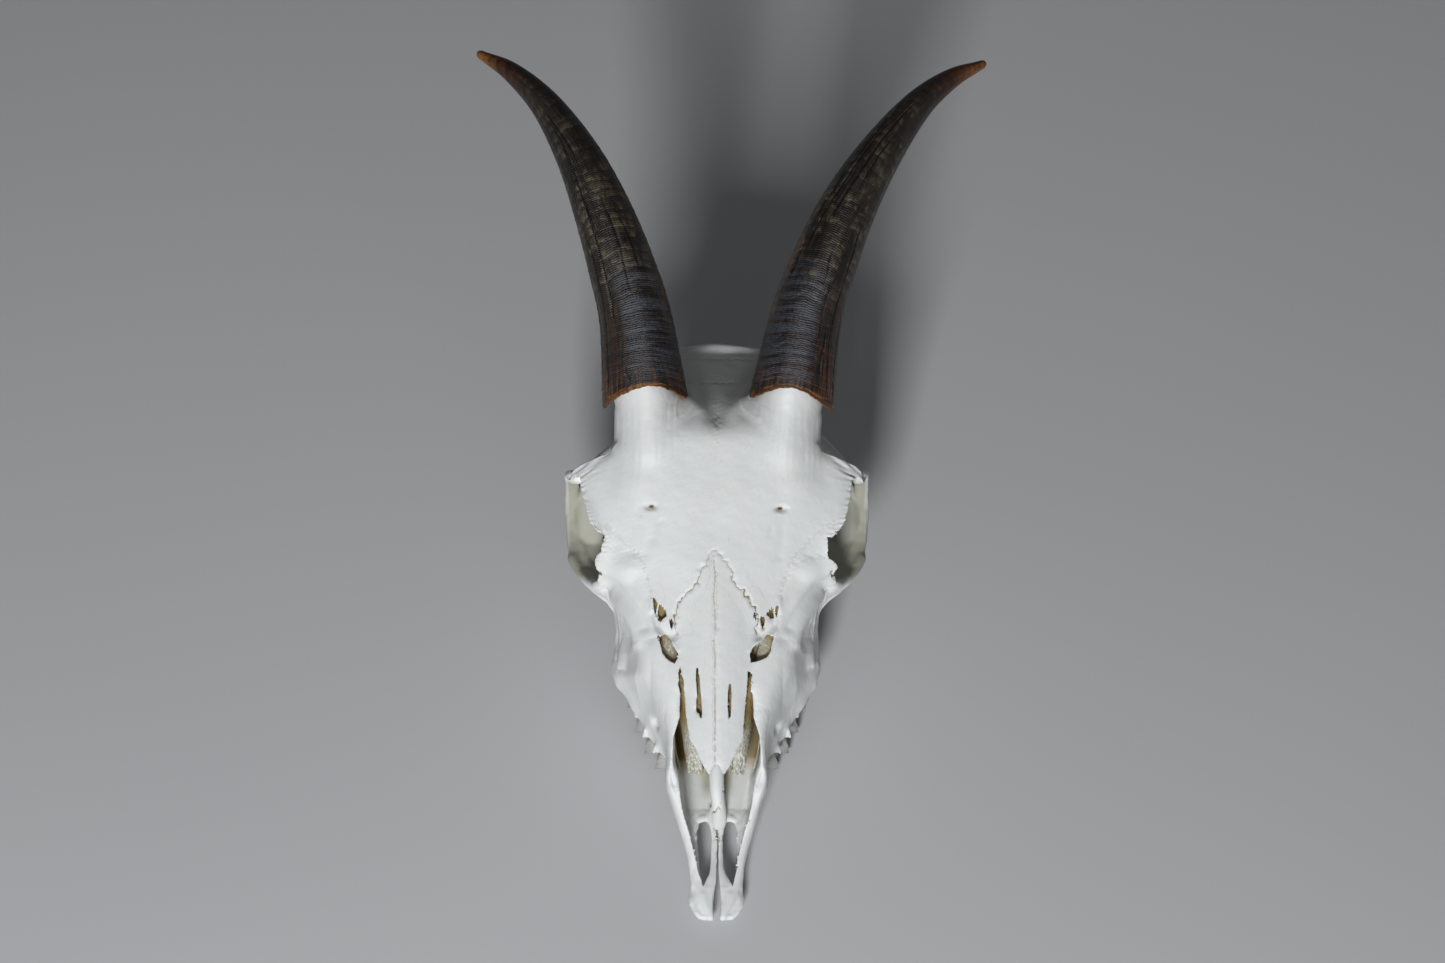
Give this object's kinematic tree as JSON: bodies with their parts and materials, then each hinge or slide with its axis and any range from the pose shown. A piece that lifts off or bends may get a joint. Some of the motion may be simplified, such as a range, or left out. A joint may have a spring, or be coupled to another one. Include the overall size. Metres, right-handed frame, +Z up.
{
  "type": "animal skull",
  "caption": "Goat skull without a lower jaw, with curved horn sheaths on their bony cores, lying on its cheek teeth as a museum model.",
  "frame": {"origin": "middle of the bounding box, at the floor that the cheek teeth and the jugular processes rest on", "axes": "+Z up, -Y towards the muzzle, +X towards the right side of the picture"},
  "size_m": [0.2016, 0.3022, 0.1725],
  "materials": {
    "bone": "matte weathered",
    "horn": "satin keratin"
  },
  "bodies": {
    "root": {"frontal_left": "bone", "frontal_right": "bone", "horn_left": "horn", "horn_right": "horn", "lacrimal_left": "bone", "lacrimal_right": "bone", "maxilla_left": "bone", "maxilla_right": "bone", "nasal_left": "bone", "nasal_right": "bone", "premaxilla_left": "bone", "premaxilla_right": "bone", "temporal_left": "bone", "temporal_right": "bone", "turbinate_left": "bone", "turbinate_right": "bone", "zygomatic_left": "bone", "zygomatic_right": "bone", "occipital": "bone", "parietal": "bone", "sphenoid": "bone", "vomer": "bone"}
  },
  "joints": []
}
